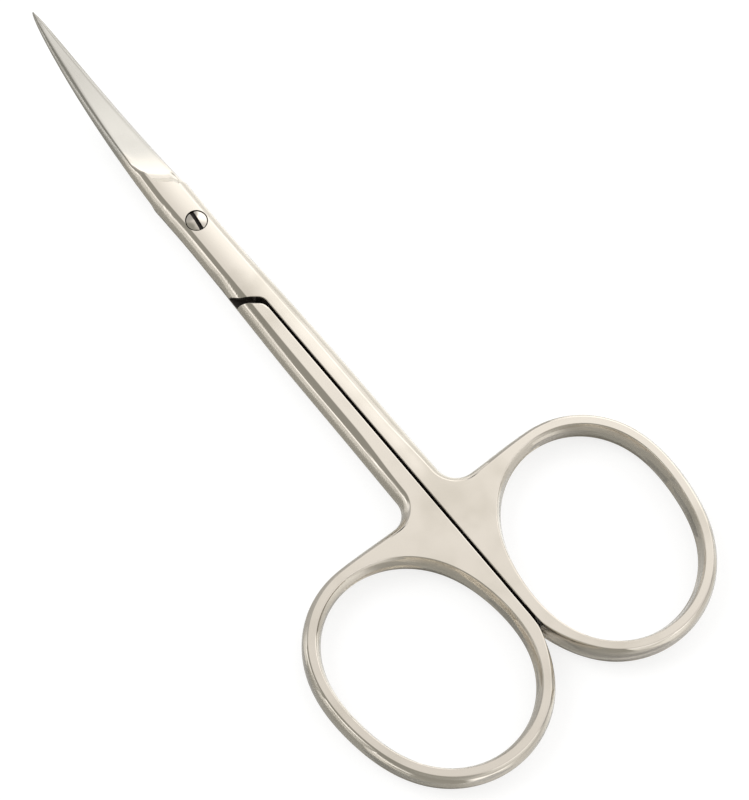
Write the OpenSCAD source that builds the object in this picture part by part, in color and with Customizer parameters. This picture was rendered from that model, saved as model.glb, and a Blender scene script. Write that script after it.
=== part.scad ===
// Curved cuticle scissors: two forged halves in a half-lap joint, held by one slotted screw.
// Millimetres. +Z is up, +Y points to the tips, and the scissors lie flat and closed.
// The upper half has its finger ring at +X and the lower half has its ring at -X.
// Each half is one loft from the tip of its blade to the far end of its finger ring.

/* [Overall] */
// Distance from the pivot to the tips
blade_reach = 27.1; // [26:0.1:30]
// Thickness of the closed scissors between their flat-ground faces
thick = 3.5; // [3.2:0.1:4]
// Height of the oval that each half is forged to before its faces are ground flat
forged_height = 3.88; // [3.75:0.01:4.3]
// Slit between the two handles when the scissors are closed
handle_gap = 0.28; // [0.1:0.01:0.4]
// Gap between the two halves inside the lap joint and along the blades
lap_gap = 0.08; // [0.05:0.01:0.15]

/* [Shank] */
// Half the width of the closed scissors across the pivot
joint_half_w = 2.06; // [2:0.01:2.3]
// Half the width of the closed scissors where the shanks begin
shank_half_w = 2.46; // [2.3:0.01:2.7]
// Distance behind the pivot over which the joint widens to the shanks
swell_length = 19; // [14:1:22]
// How much wider half the shanks grow on their way to the rings
shank_growth = 0.14; // [0:0.01:0.2]
// How much of the half width the rounded side takes up
side_round = 0.8; // [0.6:0.05:0.85]
// Distance from the pivot to the crotch between shank and ring
crotch_y = 35.2; // [34:0.1:36]
// Radius of the fillet in that crotch
crotch_r = 2.22; // [1.8:0.01:2.6]

/* [Finger rings] */
// Ring centre, sideways from the parting line
ring_x = 10.7; // [10.7:0.01:11]
// Ring centre, back from the pivot
ring_y = 50.05; // [49.5:0.05:51]
// Centre to the middle of the ring's section every 45 degrees, from the outer side over the tip side
ring_radii = [9.7, 11.25, 11.7, 10.45, 9.75, 11.3, 11.95, 10.6]; // [9:0.05:12.5]
// Half the width of the ring's oval section
ring_half_w = 0.93; // [0.8:0.01:1.1]

/* [Lap joint] */
// Where the tongue's slanted end would meet the parting line, back from the pivot
tongue_end_y = 10.53; // [10.2:0.01:10.6]
// Slope of that end across the shank
tongue_slope = 0.77; // [0.7:0.01:0.85]
// How strongly the end bends forward towards its outer corner
tongue_bow = 1.4; // [0.8:0.1:1.6]
// Radius that turns the tongue's end into the parting line
tongue_fillet = 1.2; // [0.8:0.1:1.4]
// Where the other half's shoulder would meet the parting line, back from the pivot
shoulder_y = 11.36; // [11.2:0.01:11.6]
// Slope of the shoulder across the shank
shoulder_slope = 0.79; // [0.7:0.01:0.85]
// Rounding of the shoulder where it meets the parting line
shoulder_r = 1.1; // [0.8:0.05:1.2]

/* [Blades] */
// Distance from the pivot to where the blades start to narrow
blade_start = 4; // [3:0.1:4.5]
// Half the blades' width there
blade_half_w = 2.12; // [2:0.01:2.2]
// How full the blades stay towards the tip: 0.5 is a parabola
blade_taper = 0.575; // [0.5:0.005:0.65]
// Distance from the pivot to where the blades start to curve upwards
bend_start = 5.5; // [5:0.1:6]
// Radius of that curve
bend_radius = 45.5; // [43:0.5:60]
// Height of the blade's back just past the joint, from the mating face
back_root = 1.25; // [1.1:0.05:1.35]
// Height of the blade's back at the tip
back_tip = 0.42; // [0.3:0.01:0.6]
// Height of the blade's face at the cutting edge, as a share of the back's height
edge_share = 0.6; // [0.5:0.05:0.75]
// Width of the rounding along the blade's back
back_round = 0.46; // [0.3:0.01:0.5]
// Width of the bevel along the cutting edge
bevel_w = 0.25; // [0.15:0.01:0.3]
// How far the cutting edge lies inside the other blade's back
edge_inset = 0.08; // [0.03:0.01:0.12]
// Where the grinding of the blade's face runs out on the centre line, from the pivot
runout_y = 5.9; // [5.7:0.1:6.2]
// Length of the hollow in which it runs out
runout_l = 2; // [1.6:0.1:2.2]
// Slope of the run-out across the blade
runout_slant = -0.777; // [-0.8:0.01:-0.5]
// How far the run-out bows towards the rings
runout_bow = 0.5; // [0.2:0.05:0.6]

/* [Pivot screw] */
// Radius of the screw's head
head_r = 1.1; // [1:0.01:1.15]
// Height of the head's rim
head_h = 0.75; // [0.6:0.05:0.9]
// How far the middle of the head stands above its rim
head_dome = 0.1; // [0.04:0.01:0.15]
// Radius of the screw's shank
screw_r = 0.75; // [0.65:0.01:0.8]
// Radius of the riveted end on the underside
rivet_r = 1; // [0.95:0.01:1.05]
// Height of the riveted end
rivet_h = 0.35; // [0.3:0.01:0.5]
// Width of the driver slot
slot_w = 0.36; // [0.25:0.01:0.45]
// Depth of the driver slot below the top of the head
slot_d = 0.4; // [0.3:0.01:0.5]
// Direction of the driver slot, turned from the X axis
slot_angle = 82.3; // [0:0.1:180]
// Running clearance round the shank in the upper half
pivot_clear = 0.04; // [0.02:0.01:0.08]
// Clearance round the head and the riveted end in their recesses
recess_clear = 0.06; // [0.04:0.01:0.1]

/* [Hidden] */
steel = [0.83, 0.8, 0.76];
half_t = thick / 2;
half_forged = forged_height / 2;
half_gap = handle_gap / 2;
mate_h = lap_gap / 2;
ring_back = ring_y + ring_radii[6] + ring_half_w;
tip_y = blade_reach - 0.15;
pivot_y = (ring_back - tip_y) / 2;
past = 1;
level_steps = 8;
top_steps = 4;
// Angle on the forged oval at which the flat-ground face cuts it
oval_end = asin(half_t / half_forged);
oval_drop = 1 - cos(oval_end);
// The same angle for the tongue, a little below the middle plane, where the lap is cut next
tongue_low = -15;
// In front of this the halves are no longer lapped from a full section
lap_front = 3.6;

function mix(a, b, t) = a + (b - a) * t;
function clamp01(t) = min(1, max(0, t));
function ease(t) = let (u = clamp01(t)) u * u * (3 - 2 * u);
function unit(v) = v / norm(v);

// Half the width of the closed scissors at a distance y in front of the pivot
function half_width(y) =
    y > blade_start
        ? blade_half_w * pow(clamp01(1 - (y - blade_start) / (blade_reach - blade_start)), blade_taper)
        : y > 0
            ? mix(joint_half_w, blade_half_w, y / blade_start)
            : mix(joint_half_w, shank_half_w, ease(-y / swell_length))
                + shank_growth * clamp01((y + growth_first) / (growth_first - crotch_y));
growth_first = 13;

// Upward curve of the blades' mating faces: a surface of revolution about the pivot,
// so the blades slide over each other without meeting as they open
function rise(x, y) =
    let (r = norm([x, y]) - bend_start)
    y > 0 && r > 0 ? bend_radius - sqrt(bend_radius * bend_radius - r * r) : 0;

// Distance from the ring's centre to the middle of its section: a smooth wave through ring_radii
function ring_radius(a) =
    let (n = len(ring_radii), step = 360 / n)
    let (near = [for (i = [0:n - 1]) abs(sin((a - i * step) / 2)) < 0.001 ? i : -1])
    max(near) >= 0
        ? ring_radii[max(near)]
        : add([for (i = [0:n - 1])
            ring_radii[i] * sin(n / 2 * (a - i * step)) / (n * tan((a - i * step) / 2))]);
function add(v, i = 0) = i < len(v) ? v[i] + add(v, i + 1) : 0;
function ring_mid(a) = [ring_x + ring_radius(a) * cos(a), -ring_y + ring_radius(a) * sin(a)];
function ring_normal(a) = let (t = unit(ring_mid(a + 0.5) - ring_mid(a - 0.5))) [t[1], -t[0]];
function ring_point(a, d) = ring_mid(a) + d * ring_normal(a);

// One end of a station: its place in plan, the way its side is set back above and below
// the middle, how far the forged oval reaches in from there, and over what length it bows
function end_point(p, inward, oval, bow_l = 0) = [p[0], p[1], inward[0], inward[1], oval, bow_l];

// Shank and joint: both sides are the forged oval
function side_oval(y) = side_round * half_width(y);
function back_side(y) = end_point([-half_width(y), y], [1, 0], side_oval(y));
function handle_side(y) =
    let (oval = mix(side_oval(y), crotch_oval, ease((web_first_y - y) / web_blend)))
    end_point([half_width(y), y], [-1, 0], oval);
crotch_oval = 1.5;
web_oval = 1.15;
// The shank's outer side starts to change into the crotch here, over this distance
web_first_y = -27;
web_blend = 8;

// Tongue's end: a slanted upright wall that turns into the parting line
function tongue_end(x) = -tongue_end_y - tongue_slope * x;
slope_angle = atan(tongue_slope);
tongue_turn = 90 - slope_angle;
tongue_tangent = tongue_fillet * tan(tongue_turn / 2);
turn_centre = [half_gap - tongue_fillet, tongue_end(half_gap) - tongue_tangent];
function turn_point(a) = turn_centre + tongue_fillet * [cos(a), sin(a)];

function wall_point(p) = end_point(p, [0, 0], 0);

// Stations of the handle, each with its back end and its outer end
tongue_first_x = -0.9;
row_skew = 0.1;
tongue_steps = 4;
turn_steps = 6;
shank_steps = 8;
crotch_steps = 10;
web_steps = 5;
ring_steps = 34;
turn_end_y = turn_centre[1];
web_y0 = -crotch_y;
web_y1 = web_y0 - 2.4;
web_y2 = web_y0 - 6.5;
crotch_centre = [half_width(-crotch_y) + crotch_r, -crotch_y];
ring_first = 97;
ring_last = -77;
inner_first = 184;
inner_last = 277;

joint_stations = [for (y = [2, 0, -2, -4, -6]) [back_side(y), handle_side(y)]];
// The end bends forward outside this distance from the parting line
tongue_bow_x = 1.5;
corner_w = half_width(-8);
corner = [-corner_w, tongue_end(-corner_w)];
corner_station = [[
    end_point(corner, [1, -tongue_slope], side_oval(corner[1]), corner_w - tongue_bow_x),
    handle_side(corner[1] + tongue_bow * pow(corner_w - tongue_bow_x, 2))
]];
tongue_stations = [for (i = [1:tongue_steps])
    let (x = mix(tongue_first_x, half_gap - tongue_tangent * cos(slope_angle), i / tongue_steps))
    [wall_point([x, tongue_end(x)]), handle_side(tongue_end(x) - row_skew)]];
turn_stations = [for (i = [1:turn_steps])
    let (p = turn_point(mix(tongue_turn, 0, i / turn_steps)))
    [wall_point(p), handle_side(p[1] - row_skew)]];
shank_stations = [for (i = [1:shank_steps])
    let (y = mix(turn_end_y, web_y0, i / shank_steps))
    [wall_point([half_gap, y]), handle_side(y)]];
crotch_stations = [for (i = [1:crotch_steps])
    let (t = i / crotch_steps, a = mix(180, 270, t), n = [cos(a), sin(a)])
    [wall_point([half_gap, mix(web_y0, web_y1, t)]),
     end_point(crotch_centre + crotch_r * n, n, mix(crotch_oval, web_oval, t))]];
ring_start = ring_point(ring_first, ring_half_w);
web_stations = [for (i = [1:web_steps])
    let (t = i / (web_steps + 1))
    [wall_point([half_gap, mix(web_y1, web_y2, t)]),
     end_point(mix(crotch_centre + [0, -crotch_r], ring_start, t),
               -mix([0, 1], ring_normal(ring_first), t), mix(web_oval, ring_half_w, t))]];
// The ring's inner side leaves the parting line where its own curve passes it
bulge_first = 192;
bulge_turn = 36;
function inner_end(a) =
    let (p = ring_point(a, ring_half_w), oval = ring_half_w * ease((a - bulge_first) / bulge_turn))
    end_point([max(half_gap, p[0]), p[1]], -ring_normal(a), oval);
inner_top = ring_point(inner_first, ring_half_w)[1];
ring_split = 0.3;
ring_stations = [for (i = [0:ring_steps])
    let (t = i / ring_steps, outer = mix(ring_first, ring_last, t))
    [t < ring_split
        ? wall_point([half_gap, mix(web_y2, inner_top, t / ring_split)])
        : inner_end(mix(inner_first, inner_last, (t - ring_split) / (1 - ring_split))),
     end_point(ring_point(outer, ring_half_w), -ring_normal(outer), ring_half_w)]];

// Blade stations run slanted across the blade where the grinding runs out
mid_blade = 13;
tip_steps = 12;
hollow_steps = 5;
blade_centres = concat(
    [for (i = [tip_steps:-1:0]) mid_blade + (tip_y - mid_blade) * sin(90 * i / tip_steps)],
    [11.7, 10.4, 9.2],
    [for (i = [hollow_steps:-1:0]) runout_y + runout_l * i / hollow_steps],
    [4.8, lap_front]);
function slanted(yc) =
    ease(yc < runout_y ? (yc - lap_front) / (runout_y - lap_front) : (mid_blade - yc) / 4.7);
// 1 on the joint's flat face, 0 on the blade's face, with a hollow between them
function hollow(yc) = pow(1 - clamp01((yc - runout_y) / runout_l), 2);
function across(x, yc) =
    let (s = slanted(yc), w = half_width(yc))
    yc + s * (runout_slant * x - runout_bow * (1 - x * x / (w * w)));
back_start = 9;
function back_height(y) = mix(back_root, back_tip, clamp01((y - back_start) / (tip_y - back_start)));
function end_of_row(side, yc) =
    let (y1 = across(side * half_width(yc), yc)) [side * half_width(y1), y1];
// Near the tip the rounding and the bevel shrink to these shares of the half width
back_share = 0.45;
bevel_share = 0.3;
function blade_back(yc) =
    let (w = half_width(yc), narrow = min(back_round, w * back_share) / oval_drop)
    end_point(end_of_row(-1, yc), [1, 0], mix(narrow, side_round * w, hollow(yc)));
function blade_edge(yc) =
    let (w = half_width(yc), bevel = min(bevel_w, w * bevel_share) / oval_drop)
    let (p = end_of_row(1, yc), inset = min(edge_inset, w * bevel_share) * (1 - hollow(yc)))
    end_point(p - [inset, 0], [-1, 0], mix(bevel, side_round * w, hollow(yc)));

// One row of points round a section: up the back side, over the face, down the other side.
// A bevel starts with an upright edge of this share of its height
bevel_foot = 0.12;
function side_height(angle, top, base) =
    angle > 0 ? base + (top - base) * sin(angle) / sin(oval_end) : half_t * sin(angle) / sin(oval_end);
function side_row(e, top, base, low, bevelled) = [for (k = [0:level_steps])
    let (t = k / level_steps, angle = mix(low, oval_end, t))
    let (round_in = e[4] * (1 - cos(angle)), bevel_in = e[4] * oval_drop * t)
    let (d = mix(round_in, bevel_in, bevelled))
    let (h = mix(side_height(angle, top, base), mix(base, top, mix(bevel_foot, 1, t)), bevelled))
    let (bow = tongue_bow * pow(max(0, e[5] - d), 2))
    [e[0] + e[2] * d, e[1] + e[3] * d + bow, k == 0 && low >= 0 ? base : h]];
function station_row(left, right, top_l, top_r, base, low, bevelled, yc) =
    let (a = side_row(left, top_l, base, low, 0), b = side_row(right, top_r, base, low, bevelled))
    let (pa = a[level_steps], pb = b[level_steps], qa = a[0], qb = b[0])
    concat(a,
        [for (i = [1:top_steps - 1])
            let (t = i / top_steps, p = mix(pa, pb, t))
            [p[0], is_undef(yc) ? p[1] : across(p[0], yc), p[2]]],
        [for (k = [level_steps:-1:0]) b[k]],
        [[(qa[0] + qb[0]) / 2, is_undef(yc) ? (qa[1] + qb[1]) / 2 : across((qa[0] + qb[0]) / 2, yc),
            qa[2]]]);
function blade_row(yc) =
    let (run = hollow(yc), back = back_height(yc))
    station_row(blade_back(yc), blade_edge(yc),
        mix(back, half_t, run), mix(back * edge_share, half_t, run), mate_h, 0, 1 - run, yc);
function handle_row(s, low) = station_row(s[0], s[1], half_t, half_t, 0, low, 0, undef);

rows = concat(
    [for (yc = blade_centres) blade_row(yc)],
    [for (s = joint_stations) handle_row(s, tongue_low)],
    [for (s = concat(corner_station, tongue_stations, turn_stations, shank_stations,
                     crotch_stations, web_stations, ring_stations)) handle_row(s, -oval_end)]);

// Triangles that close a section, rung by rung between its two sides
function end_faces(m) =
    let (last = level_steps, face = [for (i = [0:top_steps]) last + i], under = m - 1)
    concat(
        [[1, under, 0], [1, m - 2, under], [1, m - 3, m - 2]],
        [for (k = [1:last - 2]) each [[k, k + 1, m - 3 - k], [k, m - 3 - k, m - 2 - k]]],
        [[last - 1, m - 2 - last, m - 1 - last]],
        [for (i = [0:top_steps - 1]) [last - 1, face[i], face[i + 1]]]);

// Skin over the rows. Each half is set on its own side of the mating face, which bends up
// along the blades: side is 1 for the upper half and -1 for the lower half
module loft(side) {
    m = len(rows[0]);
    n = len(rows);
    points = [for (row = rows) for (p = row) [side * p[0], p[1], side * p[2] + rise(p[0], p[1])]];
    skin = [for (i = [0:n - 2]) for (j = [0:m - 1])
        let (a = i * m + j, b = i * m + (j + 1) % m, c = (i + 1) * m + (j + 1) % m, d = (i + 1) * m + j)
        each [[a, b, c], [a, c, d]]];
    tip = [for (f = end_faces(m)) [f[2], f[1], f[0]]];
    far_end = [for (f = end_faces(m)) [for (i = f) i + (n - 1) * m]];
    polyhedron(points, concat(skin, tip, far_end));
}

// Finger hole: its wall bulges inwards at the middle as the ring's section does
hole_sides = 64;
hole_past = 0.12;
module finger_hole() {
    reach = asin((half_t + hole_past) / half_forged);
    points = [for (k = [0:level_steps])
        let (angle = mix(-reach, reach, k / level_steps), z = half_forged * sin(angle))
        for (i = [0:hole_sides - 1])
            let (p = ring_point(360 * i / hole_sides, -ring_half_w * cos(angle))) [p[0], p[1], z]];
    base = [for (i = [0:hole_sides - 1]) i];
    top = [for (i = [hole_sides - 1:-1:0]) level_steps * hole_sides + i];
    wall = [for (k = [0:level_steps - 1]) for (i = [0:hole_sides - 1])
        let (j = (i + 1) % hole_sides, a = k * hole_sides)
        each [[a + i, a + hole_sides + i, a + hole_sides + j], [a + i, a + hole_sides + j, a + j]]];
    polyhedron(points, concat([base, top], wall));
}

// Half of the thickness is cut away in front of the shoulder for the other half's tongue
function shoulder(x) = -shoulder_y + shoulder_slope * x;
lap_end = lap_front - 0.05;
module lap_cut() {
    wide = shank_half_w + past;
    lean = atan(shoulder_slope);
    x = half_gap + shoulder_r;
    centre = [x, shoulder(x) - shoulder_r / cos(lean)];
    round = [for (a = [180:-9:90 + lean]) centre + shoulder_r * [cos(a), sin(a)]];
    translate([0, 0, mate_h - half_t - past])
        linear_extrude(half_t + past)
            polygon(concat(
                [[-wide, lap_end], [-wide, centre[1]]],
                round,
                [[wide, shoulder(wide)], [wide, lap_end]]));
}

module half_blank(side) {
    difference() {
        loft(side);
        rotate([0, side > 0 ? 0 : 180, 0]) {
            finger_hole();
            lap_cut();
        }
    }
}

module at_rest() {
    translate([0, pivot_y, half_t]) children();
}

// Upper half: its recess takes the screw's head, and it turns on the screw's shank
module upper_half() {
    color(steel) at_rest() difference() {
        half_blank(1);
        cylinder(h = thick, r = screw_r + pivot_clear, $fn = 48);
        translate([0, 0, half_t - head_h - recess_clear / 2])
            cylinder(h = thick, r = head_r + recess_clear, $fn = 48);
    }
}

// Lower half: the screw is fast in it, riveted over in a recess on the underside
fast_clear = 0.01;
module lower_half() {
    color(steel) at_rest() difference() {
        half_blank(-1);
        translate([0, 0, -thick]) cylinder(h = thick, r = screw_r + fast_clear, $fn = 48);
        translate([0, 0, -thick - half_t + rivet_h])
            cylinder(h = thick, r = rivet_r + recess_clear, $fn = 48);
    }
}

// Slotted screw: its head is flush with the upper half and slightly domed
rivet_inset = 0.02;
screw_chamfer = 0.07;
dome_steps = 4;
module pivot_screw() {
    dome_r = head_r - screw_chamfer;
    rivet_z = -half_t + rivet_inset;
    color(steel) at_rest() difference() {
        rotate_extrude($fn = 64)
            polygon(concat(
                [[0, rivet_z],
                 [rivet_r - screw_chamfer, rivet_z],
                 [rivet_r, rivet_z + screw_chamfer],
                 [rivet_r, -half_t + rivet_h],
                 [screw_r, -half_t + rivet_h],
                 [screw_r, half_t - head_h],
                 [head_r, half_t - head_h],
                 [head_r, half_t - screw_chamfer]],
                [for (i = [dome_steps:-1:0])
                    let (t = i / dome_steps) [dome_r * t, half_t + head_dome * (1 - t * t)]]));
        translate([0, 0, half_t + head_dome - slot_d])
            rotate([0, 0, slot_angle])
                translate([-2 * head_r, -slot_w / 2, 0])
                    cube([4 * head_r, slot_w, thick]);
    }
}

upper_half();
lower_half();
pivot_screw();
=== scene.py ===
"""Looks of a pair of small curved cuticle scissors of polished, nickel-plated steel.

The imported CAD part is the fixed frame. Each forged half and the pivot screw get a finely shaped
piece that replaces the CAD node of the same name. Lengths in the classes are millimetres in the
part's own frame: +Z up, +Y towards the tips, origin under the middle of the closed scissors.
"""

import logging
import math
from collections.abc import Callable
from dataclasses import dataclass
from enum import Enum

import bpy
from mathutils import Matrix, Vector


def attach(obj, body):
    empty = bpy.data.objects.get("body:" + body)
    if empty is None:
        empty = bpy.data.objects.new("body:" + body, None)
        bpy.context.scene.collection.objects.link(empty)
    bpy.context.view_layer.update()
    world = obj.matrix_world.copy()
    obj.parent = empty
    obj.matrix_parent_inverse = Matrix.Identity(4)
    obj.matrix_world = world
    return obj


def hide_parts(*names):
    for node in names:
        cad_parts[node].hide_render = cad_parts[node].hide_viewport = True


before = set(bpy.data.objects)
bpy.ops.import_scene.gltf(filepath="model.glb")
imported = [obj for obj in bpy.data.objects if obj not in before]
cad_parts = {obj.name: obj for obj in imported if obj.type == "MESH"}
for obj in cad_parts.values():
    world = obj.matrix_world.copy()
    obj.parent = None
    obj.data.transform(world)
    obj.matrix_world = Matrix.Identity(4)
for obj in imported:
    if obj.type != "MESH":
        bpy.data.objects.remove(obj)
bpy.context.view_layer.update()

MM = 0.001
IMAGE_WIDTH = 749
# Polish coordinates of skins that aren't a blade start here, in millimetres from a tip
PAST_BLADE = 200.0
# Faces that meet at less than this angle are shaded as one surface
SMOOTH_DEG = 32

logging.basicConfig(level=logging.INFO, format="%(message)s")
log = logging.getLogger("scissors")

Plan = tuple[float, float]
Point = tuple[float, float, float]
Row = list[Point]
Tree = bpy.types.NodeTree
Socket = bpy.types.NodeSocket
Material = bpy.types.Material
Piece = bpy.types.Object


class Grain(Enum):
    """Which way the polishing lines run over a skin."""

    ALONG_ROWS = 1
    ROUND_ROWS = 2


class Side(Enum):
    """Which of the two forged halves is meant."""

    UPPER = 1
    LOWER = -1


# Small helpers


def mix(a: float, b: float, t: float) -> float:
    """Value at share t of the way from a to b."""
    return a + (b - a) * t


def clamp01(t: float) -> float:
    """The number t, held between 0 and 1."""
    return min(1.0, max(0.0, t))


def ease(t: float) -> float:
    """Smooth step from 0 to 1."""
    u = clamp01(t)
    return u * u * (3 - 2 * u)


def to_linear(hex_colour: str) -> tuple[float, float, float, float]:
    """Turn an sRGB hex colour into the linear RGBA that the shader nodes take.

    Args:
        hex_colour: colour such as "#D8D2C8".

    Returns:
        Linear red, green and blue, and an alpha of 1.
    """
    parts = [int(hex_colour.lstrip("#")[i : i + 2], 16) / 255 for i in (0, 2, 4)]
    linear = [c / 12.92 if c <= 0.04045 else ((c + 0.055) / 1.055) ** 2.4 for c in parts]
    return (linear[0], linear[1], linear[2], 1.0)


def running(points: list) -> list[float]:
    """Distance of each point from the first one, measured along the line through them."""
    found = [0.0]
    for p, q in zip(points, points[1:]):
        found.append(found[-1] + math.dist(p, q))
    return found


def point_along(points: list[Plan], lengths: list[float], s: float) -> Plan:
    """Point at a length s along the line through the points, given their running lengths."""
    k = 0
    while k < len(points) - 2 and lengths[k + 1] < s:
        k += 1
    f = clamp01((s - lengths[k]) / max(lengths[k + 1] - lengths[k], 1e-9))
    return (mix(points[k][0], points[k + 1][0], f), mix(points[k][1], points[k + 1][1], f))


def bezier(controls: list[Plan], t: float) -> Plan:
    """Point at share t of the Bezier curve with these control points."""
    while len(controls) > 1:
        controls = [(mix(p[0], q[0], t), mix(p[1], q[1], t)) for p, q in zip(controls, controls[1:])]
    return controls[0]


def deselect_all() -> None:
    """Leave nothing selected and no object in edit mode."""
    if bpy.context.mode != "OBJECT":
        bpy.ops.object.mode_set(mode="OBJECT")
    bpy.ops.object.select_all(action="DESELECT")


def make_active(obj: Piece) -> None:
    """Select one object alone and make it the active one."""
    deselect_all()
    obj.select_set(True)
    bpy.context.view_layer.objects.active = obj


def skin_rows(name: str, rows: list[Row], grain: Grain, last: int = 0) -> Piece:
    """Skin closed rows of points into a solid, starting from a grid primitive.

    Args:
        name: name of the new object.
        rows: closed sections with the same number of points each, in millimetres.
        grain: which way the polishing lines run. The UV map holds the distance along them
            and the distance across them.
        last: column that mirrors the first one, or 0. The distance across is then measured
            from the nearer of the two, so that both sides wear alike.

    Returns:
        The closed object, in metres, with outward normals.
    """
    deselect_all()
    across, along = len(rows[0]), len(rows) - 1
    bpy.ops.mesh.primitive_grid_add(x_subdivisions=across, y_subdivisions=along, size=2,
                                    calc_uvs=True)
    obj = bpy.context.active_object
    obj.name = obj.data.name = name
    mesh = obj.data
    place: list[tuple[int, int]] = []
    for vertex in mesh.vertices:
        col = round((vertex.co.x + 1) / 2 * across)
        row = round((vertex.co.y + 1) / 2 * along)
        place.append((row, col))
        vertex.co = Vector(rows[row][col % across]) * MM
    down = running([rows[i][len(rows[i]) // 2] for i in range(len(rows))])
    layer = mesh.uv_layers.active
    layer.name = "polish"
    rounds = [running(row + row[:1]) for row in rows]
    for loop in mesh.loops:
        row, col = place[loop.vertex_index]
        if grain is Grain.ALONG_ROWS:
            far = rounds[row][last] - rounds[row][col] if last else math.inf
            layer.data[loop.index].uv = (down[row] * MM, min(rounds[row][col], far) * MM)
        else:
            layer.data[loop.index].uv = ((PAST_BLADE + rounds[row][col]) * MM, down[row] * MM)
    bpy.ops.object.mode_set(mode="EDIT")
    bpy.ops.mesh.select_all(action="SELECT")
    bpy.ops.mesh.remove_doubles(threshold=1e-7)
    bpy.ops.mesh.select_all(action="DESELECT")
    bpy.ops.mesh.select_mode(type="EDGE")
    bpy.ops.mesh.select_non_manifold(extend=False, use_wire=False, use_boundary=True,
                                     use_multi_face=False, use_non_contiguous=False,
                                     use_verts=False)
    bpy.ops.mesh.fill_holes(sides=0)
    bpy.ops.mesh.select_all(action="SELECT")
    bpy.ops.mesh.normals_make_consistent(inside=False)
    bpy.ops.object.mode_set(mode="OBJECT")
    return obj


def cut(obj: Piece, tools: list[Piece]) -> None:
    """Subtract cutting tools from a piece one after another, and delete the tools."""
    for tool in tools:
        make_active(obj)
        modifier = obj.modifiers.new(name="cut", type="BOOLEAN")
        modifier.operation = "DIFFERENCE"
        modifier.solver = "EXACT"
        modifier.object = tool
        bpy.ops.object.modifier_apply(modifier=modifier.name)
        make_active(tool)
        bpy.ops.object.delete()


def smooth(obj: Piece) -> None:
    """Shade a piece smooth but for its sharp edges, with flat faces kept flat."""
    make_active(obj)
    bpy.ops.object.shade_smooth_by_angle(angle=math.radians(SMOOTH_DEG))
    modifier = obj.modifiers.new(name="weighted", type="WEIGHTED_NORMAL")
    modifier.mode = "FACE_AREA_WITH_ANGLE"
    modifier.weight = 60
    modifier.keep_sharp = True
    bpy.ops.object.modifier_apply(modifier=modifier.name)


# Finishes


def add_node(tree: Tree, kind: str, settings: dict | None = None,
             links: dict | None = None) -> bpy.types.Node:
    """Add one node with its settings and incoming links.

    Args:
        tree: the material's node tree.
        kind: the node's type name without "ShaderNode" in front, such as "Math".
        settings: attribute names or input sockets ("in:NAME") with the value each gets.
        links: input socket names or numbers with the output socket that feeds each.

    Returns:
        The new node.
    """
    node = tree.nodes.new("ShaderNode" + kind)
    for key, value in (settings or {}).items():
        if isinstance(key, str) and key.startswith("in:"):
            node.inputs[key[3:]].default_value = value
        elif isinstance(key, int):
            node.inputs[key].default_value = value
        else:
            setattr(node, key, value)
    for key, socket in (links or {}).items():
        tree.links.new(socket, node.inputs[key])
    return node


def step(start: float, end: float, low: float = 0.0, high: float = 1.0) -> dict:
    """Settings of a map range that gives a smooth step.

    Args:
        start, end: values at which the step starts and ends, in either order.
        low, high: what it gives there.

    Returns:
        Settings for add_node.
    """
    if start > end:
        start, end, low, high = end, start, high, low
    return {"interpolation_type": "SMOOTHSTEP", "in:From Min": start, "in:From Max": end,
            "in:To Min": low, "in:To Max": high}


def new_material(name: str) -> tuple[Material, Tree, bpy.types.Node]:
    """Make an empty material.

    Args:
        name: the material's name.

    Returns:
        The material, its node tree and its output node.
    """
    material = bpy.data.materials.new(name)
    material.use_nodes = True
    tree = material.node_tree
    tree.nodes.clear()
    return material, tree, add_node(tree, "OutputMaterial")


def paint(piece: Piece, finish: Material, inner: Material,
          is_inner: Callable[[Vector, Vector], bool]) -> None:
    """Give the faces of a piece their finish.

    Args:
        piece: the finished piece.
        finish: finish of its outer faces.
        inner: finish of its inner faces.
        is_inner: tells from a face's middle and normal whether it is an inner one.
    """
    piece.data.materials.clear()
    for material in (finish, inner):
        piece.data.materials.append(material)
    for face in piece.data.polygons:
        face.material_index = int(is_inner(face.center, face.normal))


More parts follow.
